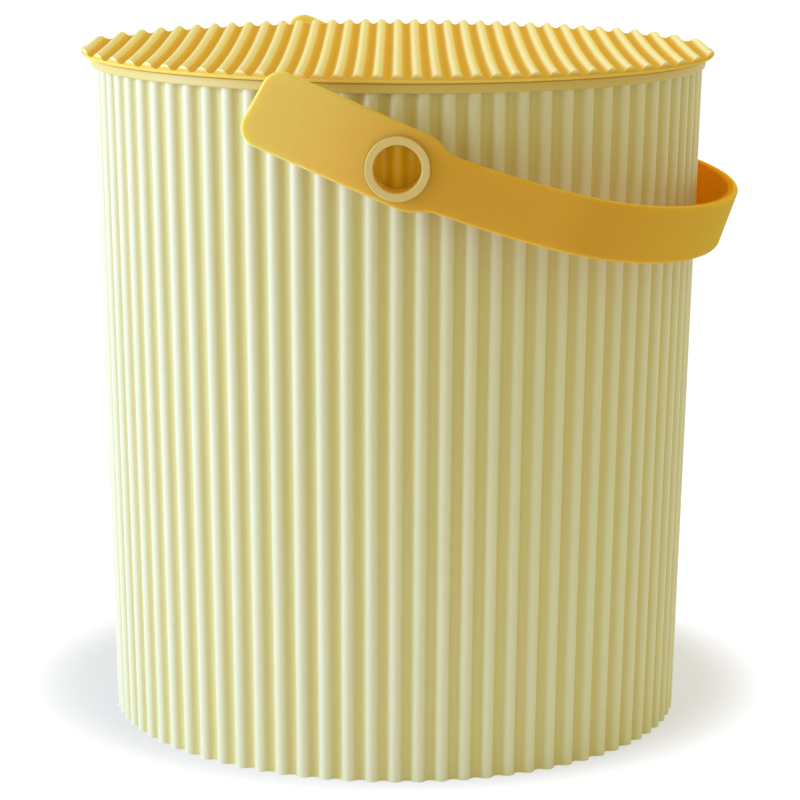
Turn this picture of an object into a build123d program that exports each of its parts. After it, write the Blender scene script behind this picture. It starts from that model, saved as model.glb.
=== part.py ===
from build123d import *
from math import cos, degrees, pi, sin
import os

# A ribbed plastic bucket with a lift-off lid and a swinging bail handle.
# Millimetres, +Z up. The origin is the centre of the foot, on the floor.
# The bail is stored down on the +X side, and its pivots lie along the Y axis.

# Body
body_height = 329.0
mouth_crest_radius = 149.9  # over the ribs, just under the rim
foot_crest_radius = 142.0   # over the ribs, at the floor
body_wall = 2.2
rib_count = 80
rib_depth = 3.0
crest_share = 0.55          # how much of a rib's pitch and depth its crest takes
rim_height = 4.5
rim_overhang = 1.5          # the rim past the ribs
rim_round = 0.8
floor_rise = 6.0            # under the floor panel
floor_thickness = 2.5
foot_skirt = 4.5            # from the rib valleys in to the recess under the floor

# Lid
lid_overhang = 4.1          # past the rim
lid_seat_gap = 0.3
lid_edge_height = 1.9       # the plain edge below the ribs, and the skin under their valleys
lid_edge_taper = 2.6        # how far the edge draws in towards its underside
lid_rib_count = 35
lid_rib_depth = 2.5
lid_dish = 3.3              # how far the middle lies below the edge
plug_depth = 9.0            # below the top of the rim
plug_wall = 2.0
plug_clearance = 0.5        # to the inside of the ribbed wall

# Pivots
pivot_drop = 36.2           # below the top of the rim
boss_radius = 15.3
boss_standout = 8.3         # past the top of the wall's ribs
sleeve_radius = 12.6
ring_bore_radius = 10.8
ring_flange_radius = 14.6
ring_flange_thickness = 2.2
ring_round = 0.6
socket_clearance = 0.03
sleeve_wall_gap = 1.4       # from the sleeve's end to the rib crests behind it
pivot_clearance = 0.08      # radial, the handle's hole on the sleeve
side_clearance = 0.3        # along the pivot, on each side of the handle

# Handle
handle_thickness = 5.0
handle_tilt = 19.5          # degrees below level where it leaves the pivots, as stored
strap_width = 26.8
paddle_width = 36.0
paddle_offset = 1.2         # the paddle's middle line above the strap's
paddle_length = 70.5        # from the pivot to the paddle's end
paddle_lift = 4.0           # degrees that the paddle leans up from the strap
paddle_end_slant = 3.5      # how much further its lower corner reaches than its upper one
paddle_corner = 9.0
step_start = 7.0            # from the pivot to where the paddle starts to narrow
step_length = 17.0
strap_rise = 18.0           # how far the bail's middle curves up from the line of its sides
bail_bend_start = 77.0      # from the pivot to where the sides start to bend round
bail_lid_clearance = 2.2    # from the bail to the lid's edge as it swings over
handle_round = 1.3

rim_radius = mouth_crest_radius + rim_overhang
rim_underside = body_height - rim_height
floor_top = floor_rise + floor_thickness
lid_radius = rim_radius + lid_overhang
lid_base = body_height + lid_seat_gap
lid_edge_top = lid_base + lid_edge_height
lid_rib_pitch = 2 * lid_radius / lid_rib_count
dish_radius = lid_radius ** 2 / (2 * lid_dish)
pivot_height = body_height - pivot_drop
boss_reach = mouth_crest_radius + boss_standout + rim_overhang
strap_inner = boss_reach + side_clearance
strap_outer = strap_inner + handle_thickness
flange_inner = strap_outer + side_clearance
flange_outer = flange_inner + ring_flange_thickness
lid_edge_rise = lid_edge_top - pivot_height
bail_inner_reach = (lid_radius ** 2 + lid_edge_rise ** 2) ** 0.5 + bail_lid_clearance
bail_outer_reach = bail_inner_reach + handle_thickness


def crest_radius(height):
    """Radius over the ribs at a height. The body is a straight taper."""
    return foot_crest_radius + (mouth_crest_radius - foot_crest_radius) * height / rim_underside


def polar(radius, angle):
    return radius * cos(angle), radius * sin(angle)


def rib_outline(radius, height):
    """A closed wave of arcs, crest and valley in turn, with a crest on the X axis."""
    pitch = 2 * pi / rib_count
    flank = crest_share * pitch / 2
    flank_radius = radius - crest_share * rib_depth
    arcs = []
    for rib in range(rib_count):
        crest = rib * pitch
        rise = polar(flank_radius, crest - flank)
        fall = polar(flank_radius, crest + flank)
        next_rise = polar(flank_radius, crest + pitch - flank)
        arcs.append(ThreePointArc(rise, polar(radius, crest), fall))
        arcs.append(ThreePointArc(fall, polar(radius - rib_depth, crest + pitch / 2), next_rise))
    return Pos(0, 0, height) * Wire(arcs)


def ribbed_taper(bottom, top, inset):
    """The ribbed body between two heights, drawn in all round by an inset."""
    outlines = [rib_outline(crest_radius(height) - inset, height) for height in (bottom, top)]
    return Solid.make_loft(outlines, ruled=True)


def disc(radius, bottom, top):
    return Pos(0, 0, bottom) * Cylinder(radius, top - bottom, align=(Align.CENTER, Align.CENTER, Align.MIN))


def pivot_cylinder(radius, near, far):
    """A cylinder on the front pivot's axis, between two distances from the bucket's centre line."""
    start = Plane(origin=(0, -near, pivot_height), z_dir=(0, -1, 0))
    return start * Cylinder(radius, far - near, align=(Align.CENTER, Align.CENTER, Align.MIN))


def bucket_body():
    rim = disc(rim_radius, rim_underside, body_height)
    rim = fillet(rim.edges().filter_by(GeomType.CIRCLE), rim_round)
    boss = pivot_cylinder(boss_radius, crest_radius(pivot_height) - rib_depth - body_wall, boss_reach)
    boss -= pivot_cylinder(sleeve_radius + socket_clearance, 0, flange_outer)
    body = ribbed_taper(0, rim_underside, 0) + rim + boss + boss.mirror(Plane.XZ)
    body -= ribbed_taper(floor_top, rim_underside, body_wall)
    body -= disc(mouth_crest_radius - body_wall, rim_underside, body_height)
    body -= disc(foot_crest_radius - rib_depth - foot_skirt, 0, floor_rise)
    return body


def lid_blank():
    """The lid without its ribs: a dished plate with a rounded edge, and a plug for the mouth."""
    plug_bottom = body_height - plug_depth
    plug_radius = crest_radius(plug_bottom) - rib_depth - body_wall - plug_clearance
    plug_inside = plug_radius - plug_wall
    stock_top = lid_edge_top + 2 * lid_rib_depth
    flat_radius = lid_radius - lid_edge_taper
    underside = Pos(0, 0, dish_radius + lid_base - lid_dish) * Sphere(dish_radius)
    profile = Plane.XZ * make_face([
        Line((0, plug_bottom), (plug_radius, plug_bottom)),
        Line((plug_radius, plug_bottom), (plug_radius, lid_base)),
        Line((plug_radius, lid_base), (flat_radius, lid_base)),
        EllipticalCenterArc((flat_radius, lid_edge_top), lid_edge_taper, lid_edge_height, 270, arc_size=90),
        Line((lid_radius, lid_edge_top), (lid_radius, stock_top)),
        Line((lid_radius, stock_top), (0, stock_top)),
        Line((0, stock_top), (0, plug_bottom)),
    ])
    return revolve(profile, Axis.Z) - (disc(plug_inside, plug_bottom, lid_base) - underside)


def lid_rib_stock():
    """Everything under the lid's top: a wave of arcs across X, swept round a far axis to dish it."""
    middle = lid_edge_top - lid_dish

    def on_dish(x, rise):
        return x, middle + x ** 2 / (2 * dish_radius) + rise

    quarter = lid_rib_pitch / 4
    last = lid_rib_count // 2 + 1
    wave = []
    for rib in range(-last, last + 1):
        crest = rib * lid_rib_pitch
        rise = on_dish(crest - quarter, lid_rib_depth / 2)
        fall = on_dish(crest + quarter, lid_rib_depth / 2)
        next_rise = on_dish(crest + 3 * quarter, lid_rib_depth / 2)
        wave.append(ThreePointArc(rise, on_dish(crest, lid_rib_depth), fall))
        wave.append(ThreePointArc(fall, on_dish(crest + 2 * quarter, 0), next_rise))
    left = wave[0] @ 0
    right = wave[-1] @ 1
    floor = body_height - 2 * plug_depth
    wave.append(Polyline(right, (right.X, floor), (left.X, floor), left))
    far_axis = Axis((0, 0, middle + dish_radius), (1, 0, 0))
    half_angle = degrees(lid_radius / dish_radius) * 1.1
    section = (Plane.XZ * make_face(wave)).rotate(far_axis, -half_angle)
    return revolve(section, far_axis, 2 * half_angle)


def lid():
    return lid_blank() & lid_rib_stock()


def pivot_ring():
    """The front ring: a flange outside the handle and a sleeve through it into the boss."""
    sleeve_end = crest_radius(pivot_height) + sleeve_wall_gap
    ring = pivot_cylinder(ring_flange_radius, flange_inner, flange_outer)
    ring += pivot_cylinder(sleeve_radius, sleeve_end, flange_inner)
    ring -= pivot_cylinder(ring_bore_radius, 0, flange_outer)
    face = ring.faces().sort_by(Axis.Y)[0]
    return fillet(face.edges(), ring_round)


def handle_plan(side, reach):
    """A U filled in, seen from above: straight sides, then half an ellipse."""
    tail = 2 * paddle_length
    straight = Pos((bail_bend_start - tail) / 2, 0) * Rectangle(bail_bend_start + tail, 2 * side)
    return straight + Pos(bail_bend_start, 0) * Ellipse(reach - bail_bend_start, side)


def handle_front():
    """The handle seen from the front: a lifted paddle that steps in to a gently rising strap."""
    def on_paddle(along, across):
        point = Vector(along, across).rotate(Axis.Z, -paddle_lift)
        return point.X, point.Y

    half_strap = strap_width / 2
    top = paddle_offset + paddle_width / 2
    foot = paddle_offset - paddle_width / 2
    step_middle = step_start + step_length / 2
    step_end = step_start + step_length
    rise_reach = bail_outer_reach - step_end
    rise_radius = (rise_reach ** 2 + strap_rise ** 2) / (2 * strap_rise)
    rise_angle = degrees(rise_reach / rise_radius) * 1.3
    top_step = Bezier(on_paddle(step_start, top), on_paddle(step_middle, top),
                      (step_middle, half_strap), (step_end, half_strap))
    foot_step = Bezier((step_end, -half_strap), (step_middle, -half_strap),
                       on_paddle(step_middle, foot), on_paddle(step_start, foot))
    top_corner = on_paddle(paddle_end_slant / 2 - paddle_length, top)
    foot_corner = on_paddle(-paddle_end_slant / 2 - paddle_length, foot)
    end = FilletPolyline(foot_step @ 1, foot_corner, top_corner, top_step @ 0, radius=paddle_corner)
    strap_top = CenterArc((step_end, rise_radius), rise_radius - half_strap, 270, rise_angle)
    strap_foot = CenterArc((step_end, rise_radius), rise_radius + half_strap, 270, rise_angle)
    strap_end = Line(strap_top @ 1, strap_foot @ 1)
    return Plane.XZ * make_face([top_step, strap_top, strap_end, strap_foot, foot_step, end])


def handle():
    plan = handle_plan(strap_outer, bail_outer_reach) - handle_plan(strap_inner, bail_inner_reach)
    bail = extrude(plan, paddle_length, both=True) & extrude(handle_front(), 2 * strap_outer, both=True)
    seams = bail.edges().filter_by(Axis.Z) + bail.edges().filter_by(Axis.Y)
    bail = fillet(bail.edges() - seams, handle_round)
    hole = Cylinder(sleeve_radius + pivot_clearance, 4 * strap_outer, rotation=(90, 0, 0))
    return Pos(0, 0, pivot_height) * Rot(0, handle_tilt, 0) * (bail - hole)


front_ring = pivot_ring()
pieces = {
    "bucket_body": bucket_body(),
    "lid": lid(),
    "pivot_ring_front": front_ring,
    "pivot_ring_back": front_ring.mirror(Plane.XZ),
    "handle": handle(),
}

os.makedirs("parts", exist_ok=True)
for name, piece in pieces.items():
    export_step(piece, f"parts/{name}.step")
    size = piece.bounding_box().size
    print(f"{name}: {size.X:.1f} x {size.Y:.1f} x {size.Z:.1f} mm, {piece.volume / 1000:.1f} cm3")
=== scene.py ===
from math import asin, cos, pi, radians, sin

import bpy
import bmesh
from mathutils import Euler, Matrix, Vector


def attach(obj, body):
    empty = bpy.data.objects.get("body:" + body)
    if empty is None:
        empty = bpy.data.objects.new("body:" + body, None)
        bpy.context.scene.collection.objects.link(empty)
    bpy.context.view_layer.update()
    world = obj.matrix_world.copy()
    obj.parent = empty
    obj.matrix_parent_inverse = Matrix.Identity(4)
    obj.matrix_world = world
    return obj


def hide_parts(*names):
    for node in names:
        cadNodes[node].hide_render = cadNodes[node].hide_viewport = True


# A ribbed plastic bucket with a dished lid and a flat bail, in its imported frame.
# Metres, +Z up, the origin at the centre of the foot.

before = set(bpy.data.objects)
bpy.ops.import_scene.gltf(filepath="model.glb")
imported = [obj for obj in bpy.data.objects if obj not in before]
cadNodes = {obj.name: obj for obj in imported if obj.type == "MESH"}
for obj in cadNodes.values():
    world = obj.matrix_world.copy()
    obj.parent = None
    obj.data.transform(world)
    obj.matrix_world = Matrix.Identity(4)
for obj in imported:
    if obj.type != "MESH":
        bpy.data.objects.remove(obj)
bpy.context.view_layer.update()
scene = bpy.context.scene
print("frame loaded:", ", ".join(sorted(cadNodes)))


class Wire:
    # one socket, so that shader maths reads as plain expressions
    def __init__(self, shader, socket):
        self.shader = shader
        self.socket = socket

    def maths(self, operation, first, second):
        return self.shader.node("ShaderNodeMath", {"operation": operation}, {0: first, 1: second})

    def out(self, name):
        return Wire(self.shader, self.socket.node.outputs[name])

    def __add__(self, other):
        return self.maths("ADD", self, other)

    def __radd__(self, other):
        return self.maths("ADD", other, self)

    def __sub__(self, other):
        return self.maths("SUBTRACT", self, other)

    def __rsub__(self, other):
        return self.maths("SUBTRACT", other, self)

    def __mul__(self, other):
        return self.maths("MULTIPLY", self, other)

    def __rmul__(self, other):
        return self.maths("MULTIPLY", other, self)

    def __truediv__(self, other):
        return self.maths("DIVIDE", self, other)

    def __rtruediv__(self, other):
        return self.maths("DIVIDE", other, self)


class Shader:
    # the node tree of a material or the world, and the one way in which nodes are made in it
    def __init__(self, owner):
        owner.use_nodes = True
        self.tree = owner.node_tree
        self.tree.nodes.clear()

    def node(self, kind, settings=None, inputs=None, output=0):
        made = self.tree.nodes.new(kind)
        for name, value in (settings or {}).items():
            setattr(made, name, value)
        for key, value in (inputs or {}).items():
            if isinstance(value, Wire):
                self.tree.links.new(value.socket, made.inputs[key])
            else:
                made.inputs[key].default_value = value
        return Wire(self, made.outputs[output]) if made.outputs else None

    def place(self):
        return self.node("ShaderNodeTexCoord", output="Object")

    def apart(self, vector):
        parts = self.node("ShaderNodeSeparateXYZ", None, {0: vector})
        return parts, parts.out("Y"), parts.out("Z")

    def distance(self, across, along):
        # how far a point lies from an axis, from its two offsets
        joined = self.node("ShaderNodeCombineXYZ", None, {0: across, 1: along})
        return self.node("ShaderNodeVectorMath", {"operation": "LENGTH"}, {0: joined}, "Value")

    def ease(self, value, low, high):
        # 0 at low, 1 at high, smooth between them
        return self.node("ShaderNodeMapRange", {"interpolation_type": "SMOOTHSTEP"},
                         {0: value, 1: low, 2: high, 3: 0.0, 4: 1.0})

    def noise(self, place, scale, detail, stretch=(1.0, 1.0, 1.0)):
        scaled = self.node("ShaderNodeMapping", None, {"Vector": place, "Scale": stretch})
        return self.node("ShaderNodeTexNoise", None, {"Vector": scaled, "Scale": scale, "Detail": detail,
                                                      "Roughness": plastic["noiseRoughness"]})

    def mix(self, factor, first, second, blend="MIX"):
        return self.node("ShaderNodeMix", {"data_type": "RGBA", "blend_type": blend},
                         {0: factor, 6: first, 7: second}, 2)

    def bump(self, height, distance, strength, under=None):
        inputs = {"Height": height, "Distance": distance, "Strength": strength}
        if under is not None:
            inputs["Normal"] = under
        return self.node("ShaderNodeBump", None, inputs)


def tint(red, green, blue):
    # a colour as it reads on a screen, 0 to 255, as the linear values that nodes take
    def linear(level):
        part = level / 255
        return part / 12.92 if part <= 0.04045 else ((part + 0.055) / 1.055) ** 2.4
    return linear(red), linear(green), linear(blue), 1.0


plastic = {
    "refraction": 1.5,
    "noiseRoughness": 0.55,
    "noiseMiddle": 0.5,       # what a noise averages, so that it shifts a value both ways
    "mottleDetail": 3.0,
    "fineDetail": 2.0,
    "grainRough": 0.08,       # how far the grain moves the roughness
    "waveStrength": 0.5,
    "grainStrength": 0.6,
}


def plasticMaterial(name, finish, paintedLightingMask, extra=None):
    # finish is a piece's own dictionary: its colours, gloss, mottling and mould grain
    material = bpy.data.materials.new(name)
    shader = Shader(material)
    place = shader.place()
    hollow = paintedLightingMask(shader, place)
    mottle = shader.noise(place, finish["mottleScale"], plastic["mottleDetail"])
    flow = shader.noise(place, finish["flowScale"], plastic["fineDetail"], finish["flowStretch"])
    grain = shader.noise(place, finish["grainScale"], plastic["fineDetail"])
    mottleShift, flowShift, grainShift = (part - plastic["noiseMiddle"] for part in (mottle, flow, grain))
    # painted lighting: each piece's mask mixes in its paintedLightingColour, painted shade on the body,
    # lid and handle, painted light on the pivot rings
    colour = shader.mix(hollow, finish["highColour"], finish["paintedLightingColour"])
    if extra:
        colour = extra(shader, place, colour)
    shift = mottleShift * finish["mottle"] + flowShift * finish["flow"] + 1.0
    level = shader.node("ShaderNodeCombineColor", None, {0: shift, 1: shift, 2: shift})
    colour = shader.mix(1.0, colour, level, "MULTIPLY")
    rough = finish["roughness"] + mottleShift * finish["roughSpread"] + grainShift * plastic["grainRough"]
    wave = shader.bump(mottle, finish["waveDepth"], plastic["waveStrength"])
    surface = shader.bump(grain, finish["grainDepth"], plastic["grainStrength"], wave)
    inputs = {"Base Color": colour, "Roughness": rough, "Normal": surface,
              "Specular IOR Level": finish["specular"], "IOR": plastic["refraction"]}
    if "depthWeight" in finish:
        inputs.update({"Subsurface Weight": finish["depthWeight"],
                       "Subsurface Radius": finish["depthRadius"],
                       "Subsurface Scale": finish["depthScale"]})
    body = shader.node("ShaderNodeBsdfPrincipled", None, inputs)
    shader.node("ShaderNodeOutputMaterial", None, {"Surface": body})
    return material


def newObject(name, shape):
    # a finished bmesh as an object in the scene
    mesh = bpy.data.meshes.new(name)
    shape.to_mesh(mesh)
    shape.free()
    made = bpy.data.objects.new(name, mesh)
    scene.collection.objects.link(made)
    return made


def dress(nodeName, material):
    for materialSlot in cadNodes[nodeName].material_slots:
        materialSlot.material = material


bucketBody = {
    "footCrestRadius": 0.1420,
    "mouthCrestRadius": 0.1499,
    "rimUnderside": 0.3245,
    "ribDepth": 0.0030,
    "ribCount": 80,
    "wall": 0.0022,
    # painted shade: crests pale, valleys darker and more saturated, standing in for shade between the
    # ribs
    "highColour": tint(231, 228, 188),
    "paintedLightingColour": tint(219, 207, 134),
    "rimColour": tint(220, 198, 108),
    "rimBlend": 0.0004,
    # painted light: the wall seen through a ring's bore is painted amber, as if lit through the handle
    "paintedThroughLightColour": tint(255, 222, 50),  # behind a ring's bore, lit through the handle
    "throughRadius": 0.0128,
    "throughBlend": 0.0002,
    "throughTaper": 0.0008,   # how far a crest at the pivots' height lies within the mouth's
    "pivotHeight": 0.2928,
    "mottleScale": 9.0,
    "mottle": 0.035,
    "flowScale": 40.0,
    "flowStretch": (1.0, 1.0, 0.06),
    "flow": 0.03,
    "grainScale": 1500.0,
    "grainDepth": 0.00004,
    "waveDepth": 0.0006,
    "roughness": 0.42,
    "roughSpread": 0.10,
    "specular": 0.5,
}


def bodyPaintedShade(shader, place):
    # painted shade: 0 on a rib's crest, 1 in the valley beside it, which is painted darker and more
    # saturated
    across, along, height = shader.apart(place)
    share = height / bucketBody["rimUnderside"]
    spread = bucketBody["mouthCrestRadius"] - bucketBody["footCrestRadius"]
    crest = share * spread + bucketBody["footCrestRadius"]
    depth = (crest - shader.distance(across, along)) / bucketBody["ribDepth"]
    return shader.ease(depth, 0.0, 1.0)


def bodyRimAndBoreLight(shader, place, colour):
    # the rim band's colour, and painted light behind the bores of the pivot rings: an amber colour
    # standing in for light that comes through the handle
    across, along, height = shader.apart(place)
    edge, blend = bucketBody["rimUnderside"], bucketBody["rimBlend"]
    colour = shader.mix(shader.ease(height, edge - blend, edge + blend), colour, bucketBody["rimColour"])
    # only the outside of the wavy wall gets the painted light: what lies beyond the middle of its
    # thickness
    crest, blend = bucketBody["mouthCrestRadius"], bucketBody["throughBlend"]
    turn = across * (bucketBody["ribCount"] / crest)
    wave = shader.node("ShaderNodeMath", {"operation": "COSINE"}, {0: turn})
    crestMiddle = crest - bucketBody["wall"] / 2 - bucketBody["throughTaper"]
    middle = (wave - 1.0) * (bucketBody["ribDepth"] / 2) + crestMiddle
    outside = shader.ease(shader.distance(across, along) - middle, -blend, blend)
    fromPivot = shader.distance(across, height - bucketBody["pivotHeight"])
    reach = bucketBody["throughRadius"]
    behindBore = (1.0 - shader.ease(fromPivot, reach - blend, reach)) * outside
    return shader.mix(behindBore, colour, bucketBody["paintedThroughLightColour"])


dress("bucket_body", plasticMaterial("bodyPlastic", bucketBody, bodyPaintedShade, bodyRimAndBoreLight))
print("bucket body dressed")


lid = {
    "radius": 0.15549,
    "ribCount": 35,
    "ribDepth": 0.0025,
    "ribSteps": 9,            # edges in the half wave of a crest or a valley
    "lengthSteps": 24,
    "stockLength": 2.1,       # of the sheet that the ribs are cut from, in radii
    "mergeShare": 0.005,      # of a rib's width or the plug's wall, within which corners merge
    "dish": 0.0033,           # how far the middle lies below the edge
    "edgeTop": 0.3312,
    "edgeHeight": 0.0019,
    "edgeDraw": 0.0026,       # how far the edge draws in towards its underside
    "edgeSteps": 6,
    "plugRadius": 0.1441,
    "plugWall": 0.0020,
    "plugBottom": 0.3200,
    "turnSteps": 360,
    "sharpAngle": 38,
    # painted shade: crests pale, valleys darker and more saturated, standing in for shade between the
    # ribs
    "highColour": tint(255, 244, 180),
    "paintedLightingColour": tint(240, 196, 86),
    # partly the plastic's plain colour, partly a painted highlight along the lid's edge
    "edgeColour": tint(255, 222, 110),
    "paintedShadeFrom": 0.2,        # shares of a rib's depth between which the painted shade comes in
    "paintedShadeTo": 0.92,
    "edgeBlend": 0.0006,
    "mottleScale": 8.0,
    "mottle": 0.04,
    "flowScale": 35.0,
    "flowStretch": (1.0, 0.1, 1.0),
    "flow": 0.03,
    "grainScale": 1500.0,
    "grainDepth": 0.00004,
    "waveDepth": 0.0006,
    "roughness": 0.5,
    "roughSpread": 0.10,
    "specular": 0.0,          # matt: its top is seen so low that any gloss whitens it
}


lidPitch = 2 * lid["radius"] / lid["ribCount"]
lidDishRadius = lid["radius"] ** 2 / (2 * lid["dish"])


def dished(shape):
    # lifts every point by its distance from the centre line
    for corner in shape.verts:
        corner.co.z += (corner.co.x ** 2 + corner.co.y ** 2) / (2 * lidDishRadius)


def makeArc(shape, start, centre, turn, steps):
    # a run of edges turned about a line along Y
    before = set(shape.verts)
    first = bmesh.ops.create_vert(shape, co=start)["vert"]
    bmesh.ops.spin(shape, geom=first, cent=centre, axis=(0, 1, 0), angle=turn, steps=steps)
    return [corner for corner in shape.verts if corner not in before]


def makeRibStock():
    # the ribbed top and everything under it, as a thick square sheet
    shape = bmesh.new()
    quarter = lidPitch / 4
    rise = lid["ribDepth"] / 2
    arcRadius = (quarter ** 2 + rise ** 2) / (2 * rise)
    turn = 2 * asin(quarter / arcRadius)
    makeArc(shape, (-quarter, 0, rise), (0, 0, lid["ribDepth"] - arcRadius), turn, lid["ribSteps"])
    makeArc(shape, (quarter, 0, rise), (2 * quarter, 0, arcRadius), -turn, lid["ribSteps"])
    wave = shape.verts[:] + shape.edges[:]
    last = lid["ribCount"] // 2 + 1
    for rib in range(1, last + 1):
        for side in (-1, 1):
            copy = bmesh.ops.duplicate(shape, geom=wave)["geom"]
            corners = [part for part in copy if isinstance(part, bmesh.types.BMVert)]
            bmesh.ops.translate(shape, verts=corners, vec=(side * rib * lidPitch, 0, 0))
    bmesh.ops.remove_doubles(shape, verts=shape.verts, dist=lidPitch * lid["mergeShare"])
    length = lid["stockLength"] * lid["radius"]
    bmesh.ops.translate(shape, verts=shape.verts, vec=(0, -length / 2, lid["edgeTop"] - lid["dish"]))
    bmesh.ops.spin(shape, geom=shape.verts[:] + shape.edges[:], cent=(0, 0, 0), axis=(0, 1, 0),
                   dvec=(0, length / lid["lengthSteps"], 0), angle=0, steps=lid["lengthSteps"])
    dished(shape)
    under = bmesh.ops.extrude_face_region(shape, geom=shape.faces[:], use_keep_orig=True)["geom"]
    corners = [part for part in under if isinstance(part, bmesh.types.BMVert)]
    bmesh.ops.translate(shape, verts=corners, vec=(0, 0, 2 * (lid["plugBottom"] - lid["edgeTop"])))
    bmesh.ops.recalc_face_normals(shape, faces=shape.faces)
    return newObject("lidRibStock", shape)


def makeLidBlank():
    # a plate with a rounded edge and a plug ring, its top left high for the ribs to cut
    shape = bmesh.new()
    base = lid["edgeTop"] - lid["edgeHeight"]
    flatRadius = lid["radius"] - lid["edgeDraw"]
    plugInside = lid["plugRadius"] - lid["plugWall"]
    middle = base - lid["dish"]
    under = [(0, 0, middle), (plugInside / 2, 0, middle + plugInside ** 2 / (8 * lidDishRadius)),
             (plugInside, 0, middle + plugInside ** 2 / (2 * lidDishRadius)),
             (plugInside, 0, lid["plugBottom"]), (lid["plugRadius"], 0, lid["plugBottom"]),
             (lid["plugRadius"], 0, base)]
    run = [shape.verts.new(place) for place in under]
    centre = (flatRadius, 0, lid["edgeTop"])
    start = (flatRadius, 0, lid["edgeTop"] - lid["edgeDraw"])
    edge = makeArc(shape, start, centre, -pi / 2, lid["edgeSteps"])
    bmesh.ops.scale(shape, verts=edge, vec=(1, 1, lid["edgeHeight"] / lid["edgeDraw"]),
                    space=Matrix.Translation(-Vector(centre)))
    run.append(edge[0])
    top = lid["edgeTop"] + 2 * lid["ribDepth"]
    close = [edge[-1], shape.verts.new((lid["radius"], 0, top)), shape.verts.new((0, 0, top))]
    for chain in (run, close):
        for first, second in zip(chain, chain[1:]):
            shape.edges.new((first, second))
    bmesh.ops.spin(shape, geom=shape.verts[:] + shape.edges[:], cent=(0, 0, 0), axis=(0, 0, 1),
                   angle=2 * pi, steps=lid["turnSteps"], use_merge=True)
    bmesh.ops.remove_doubles(shape, verts=shape.verts, dist=lid["plugWall"] * lid["mergeShare"])
    bmesh.ops.recalc_face_normals(shape, faces=shape.faces)
    return newObject("lidPlate", shape)


def makeLid():
    plate = makeLidBlank()
    ribStock = makeRibStock()
    cut = plate.modifiers.new("ribs", "BOOLEAN")
    cut.operation = "INTERSECT"
    cut.solver = "EXACT"
    cut.object = ribStock
    cutPlate = plate.evaluated_get(bpy.context.evaluated_depsgraph_get())
    finished = bpy.data.meshes.new_from_object(cutPlate)
    plate.modifiers.clear()
    plate.data = finished
    bpy.data.objects.remove(ribStock)
    finished.shade_smooth()
    finished.set_sharp_from_angle(angle=radians(lid["sharpAngle"]))
    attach(plate, "lid")
    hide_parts("lid")
    return plate


def overValleys(shader, place):
    # how far a point lies above the dished surface that the valleys follow
    across, along, height = shader.apart(place)
    reach = shader.distance(across, along)
    return height - (reach * reach / (2 * lidDishRadius) + (lid["edgeTop"] - lid["dish"]))


def lidPaintedShade(shader, place):
    # painted shade: 0 on a rib's crest, 1 in the valley beside it and below
    share = overValleys(shader, place) / lid["ribDepth"]
    return 1.0 - shader.ease(share, lid["paintedShadeFrom"], lid["paintedShadeTo"])


def lidEdge(shader, place, colour):
    # the rounded edge, the plug and the underside, all below the valleys, have one plain colour without
    # the painted shade: partly the plastic's plain colour, partly a painted highlight along the lit edge
    above = shader.ease(overValleys(shader, place), -lid["edgeBlend"], 0.0)
    return shader.mix(above, lid["edgeColour"], colour)


lidPlate = makeLid()
lidPlate.data.materials.clear()
lidPlate.data.materials.append(plasticMaterial("lidPlastic", lid, lidPaintedShade, lidEdge))
print("lid made:", len(lidPlate.data.polygons), "faces")


handle = {
    "pivotHeight": 0.2928,
    "tilt": 19.5,
    "thickness": 0.0050,
    "sideOuter": 0.1635,      # from the centre line to the outside of its sides
    "reach": 0.1674,          # from the pivots to the outside of the bail
    "bendStart": 0.0770,
    "paddleEnd": -0.0650,
    "paddleStart": 0.0300,
    "innerFrom": 0.990,       # shares of the bail's middle line between which the inner side ends
    "innerTo": 1.006,
    # painted light and shade: paler ends as if lit through the thin paddles, a deeper painted shade on
    # the inner side
    "highColour": tint(225, 180, 70),
    "paintedEndLightColour": tint(255, 221, 122),
    "paintedLightingColour": tint(234, 138, 14),
    "mottleScale": 10.0,
    "mottle": 0.04,
    "flowScale": 30.0,
    "flowStretch": (0.15, 0.15, 1.0),
    "flow": 0.04,
    "grainScale": 1500.0,
    "grainDepth": 0.00004,
    "waveDepth": 0.0008,
    "roughness": 0.40,
    "roughSpread": 0.10,
    "specular": 0.0,          # matt too: gloss would whiten the bail's end, which is seen edge on
    "depthWeight": 1.0,
    "depthRadius": (1.0, 0.6, 0.12),
    "depthScale": 0.006,
}


def alongHandle(shader, place):
    # how far out from the pivots a point lies, in line with the bail's sides
    across, along, height = shader.apart(place)
    lean = radians(handle["tilt"])
    return across * cos(lean) - (height - handle["pivotHeight"]) * sin(lean)


def handlePaintedShade(shader, place):
    # painted shade: the inner side is painted a deeper orange, within the bail's middle line as seen from
    # above
    along = shader.apart(place)[1]
    half = handle["thickness"] / 2
    beyond = alongHandle(shader, place) - handle["bendStart"]
    beyond = shader.node("ShaderNodeMath", {"operation": "MAXIMUM"}, {0: beyond, 1: 0.0})
    ahead = beyond / (handle["reach"] - half - handle["bendStart"])
    aside = along / (handle["sideOuter"] - half)
    return 1.0 - shader.ease(shader.distance(ahead, aside), handle["innerFrom"], handle["innerTo"])


def handlePaintedEndLight(shader, place, colour):
    # painted light: the paddles are painted paler towards their ends, standing in for light that comes
    # through the thin plastic
    share = shader.ease(alongHandle(shader, place), handle["paddleEnd"], handle["paddleStart"])
    return shader.mix(share, handle["paintedEndLightColour"], colour)


dress("handle", plasticMaterial("handlePlastic", handle, handlePaintedShade, handlePaintedEndLight))
print("handle dressed")


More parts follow.
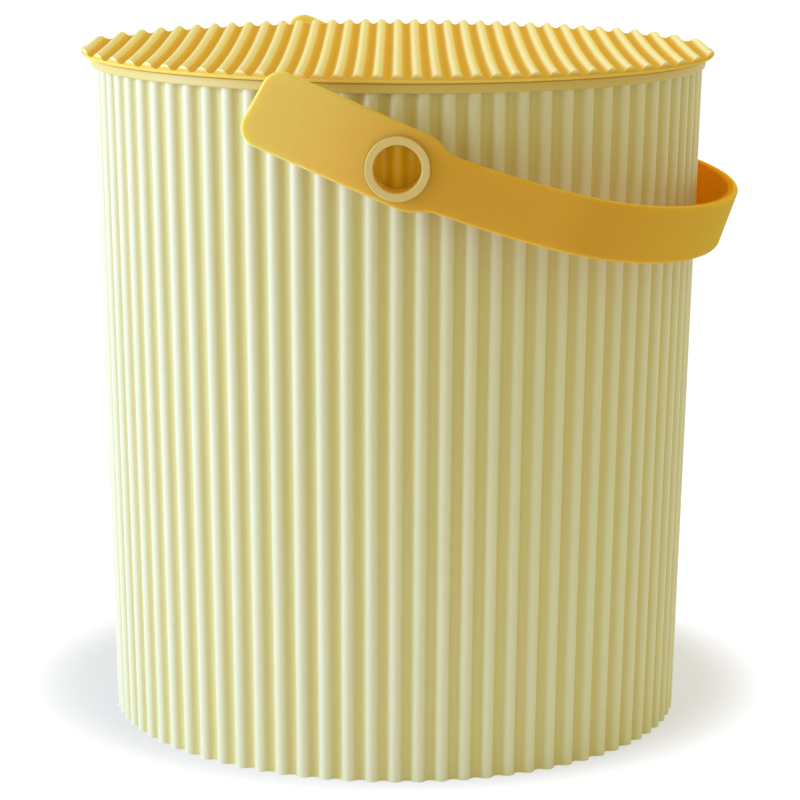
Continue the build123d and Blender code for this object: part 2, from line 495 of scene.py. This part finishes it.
pivotRing = {
    "flangeInner": 0.1653,
    "hollowBlend": 0.001,
    # painted light: the sleeve colour stands in for light that comes through the handle
    "highColour": tint(228, 200, 124),
    "paintedLightingColour": tint(255, 208, 84),
    "mottleScale": 40.0,
    "mottle": 0.03,
    "flowScale": 60.0,
    "flowStretch": (1.0, 1.0, 1.0),
    "flow": 0.02,
    "grainScale": 1800.0,
    "grainDepth": 0.00003,
    "waveDepth": 0.0003,
    "roughness": 0.36,
    "roughSpread": 0.08,
    "specular": 0.4,
}


def ringPaintedLight(shader, place):
    # painted light: the sleeve behind the flange is painted a brighter yellow, standing in for light that
    # has come through the handle
    along = shader.apart(place)[1]
    side = shader.node("ShaderNodeMath", {"operation": "ABSOLUTE"}, {0: along})
    edge = pivotRing["flangeInner"]
    return 1.0 - shader.ease(side, edge - pivotRing["hollowBlend"], edge)


ringPlastic = plasticMaterial("ringPlastic", pivotRing, ringPaintedLight)
dress("pivot_ring_front", ringPlastic)
dress("pivot_ring_back", ringPlastic)
print("pivot rings dressed")


studio = {
    "floorRadius": 9.0,
    "floorSegments": 96,
    "floorColour": tint(240, 243, 255),
    "shadeCentre": 0.035,     # the middle of the shaded floor and its painted shadow, a little behind the bucket's
    "shadeInner": 0.150,      # the floor keeps its own shading, and a painted shadow, this near to it
    "shadeOuter": 0.212,      # and is plain white beyond here
    "shadeShare": 0.35,
    # painted shadow: the floor's lower glow near the bucket
    "paintedShadowGlow": 0.77,
    "floorGlow": 1.15,
    "worldColour": tint(255, 243, 180),
    "worldLevel": 0.58,
    "whiteSeen": 1.0,         # the surroundings as the camera sees them
}


lamps = [
    {"name": "keyLamp", "place": (-1.75, -0.35, 0.75), "target": (0, 0, 0.16), "size": (1.3, 1.3),
     "power": 43.0, "colour": tint(180, 202, 255)},
    {"name": "bounceLamp", "place": (0, -0.34, 0.012), "target": (0, 0, 0.02), "size": (0.8, 0.06),
     "power": 0.17, "colour": tint(195, 215, 255)},
    {"name": "backLamp", "place": (0.35, 1.9, 0.95), "target": (0, 0, 0.2), "size": (1.2, 0.9),
     "power": 6.5, "colour": tint(255, 246, 228)},
    {"name": "lidLamp", "place": (0.44, 0.34, 0.72), "target": (0.10, 0, 0.33), "size": (0.3, 0.3),
     "power": 0.85, "colour": tint(255, 244, 224)},
]


def seenDirectly(shader):
    # rays from the camera, or seen in or through something shiny
    path = shader.node("ShaderNodeLightPath")
    seen = path.out("Is Camera Ray") + path.out("Is Glossy Ray") + path.out("Is Transmission Ray")
    return shader.node("ShaderNodeClamp", None, {0: seen})


def makeFloor():
    shape = bmesh.new()
    bmesh.ops.create_circle(shape, cap_ends=True, segments=studio["floorSegments"],
                            radius=studio["floorRadius"])
    floor = newObject("floor", shape)
    material = bpy.data.materials.new("paleFloor")
    shader = Shader(material)
    across, along, height = shader.apart(shader.place())
    reach = shader.distance(across, along - studio["shadeCentre"])
    far = shader.ease(reach, studio["shadeInner"], studio["shadeOuter"])
    white = (1.0 - (1.0 - far) * studio["shadeShare"]) * seenDirectly(shader)
    # painted shadow: the glow falls from floorGlow to the lower glow near the bucket, its middle set
    # behind it
    strength = far * (studio["floorGlow"] - studio["paintedShadowGlow"]) + studio["paintedShadowGlow"]
    matt = shader.node("ShaderNodeBsdfDiffuse", None, {"Color": studio["floorColour"]})
    glow = shader.node("ShaderNodeEmission", None, {"Color": (1, 1, 1, 1), "Strength": strength})
    both = shader.node("ShaderNodeMixShader", None, {0: white, 1: matt, 2: glow})
    shader.node("ShaderNodeOutputMaterial", None, {"Surface": both})
    floor.data.materials.append(material)


def makeWorld():
    world = bpy.data.worlds.new("surroundings")
    scene.world = world
    shader = Shader(world)
    fill = shader.node("ShaderNodeBackground", None,
                       {"Color": studio["worldColour"], "Strength": studio["worldLevel"]})
    white = shader.node("ShaderNodeBackground", None,
                        {"Color": (1, 1, 1, 1), "Strength": studio["whiteSeen"]})
    both = shader.node("ShaderNodeMixShader", None, {0: seenDirectly(shader), 1: fill, 2: white})
    shader.node("ShaderNodeOutputWorld", None, {"Surface": both})


def softLamp(name, place, target, size, power, colour):
    lamp = bpy.data.lights.new(name, "AREA")
    lamp.shape = "RECTANGLE"
    lamp.size, lamp.size_y = size
    lamp.energy = power
    lamp.color = colour[:3]
    holder = bpy.data.objects.new(name, lamp)
    holder.location = place
    holder.rotation_euler = (Vector(target) - Vector(place)).to_track_quat("-Z", "Y").to_euler()
    scene.collection.objects.link(holder)


makeFloor()
makeWorld()
for lampValues in lamps:
    softLamp(**lampValues)
scene.view_settings.view_transform = "Standard"
print("studio made")


cameraView = {
    "place": (0.0, -1.4928, 0.46287),
    "pitchDown": 0.20388,
    "turn": -0.00124,
    "roll": 0.0045,
    "focalPixels": 3015.8,
    "imagePixels": 800,
    "sensorWidth": 36.0,
    "clip": (0.05, 60.0),
}


def makeCamera():
    lens = bpy.data.cameras.new("camera")
    lens.sensor_width = cameraView["sensorWidth"]
    lens.lens = lens.sensor_width * cameraView["focalPixels"] / cameraView["imagePixels"]
    lens.clip_start, lens.clip_end = cameraView["clip"]
    camera = bpy.data.objects.new("camera", lens)
    aim = Euler((pi / 2 - cameraView["pitchDown"], 0, cameraView["turn"])).to_matrix()
    aim = aim @ Matrix.Rotation(cameraView["roll"], 3, "Z")
    camera.matrix_world = Matrix.Translation(cameraView["place"]) @ aim.to_4x4()
    scene.collection.objects.link(camera)
    scene.camera = camera


makeCamera()
print("camera set")
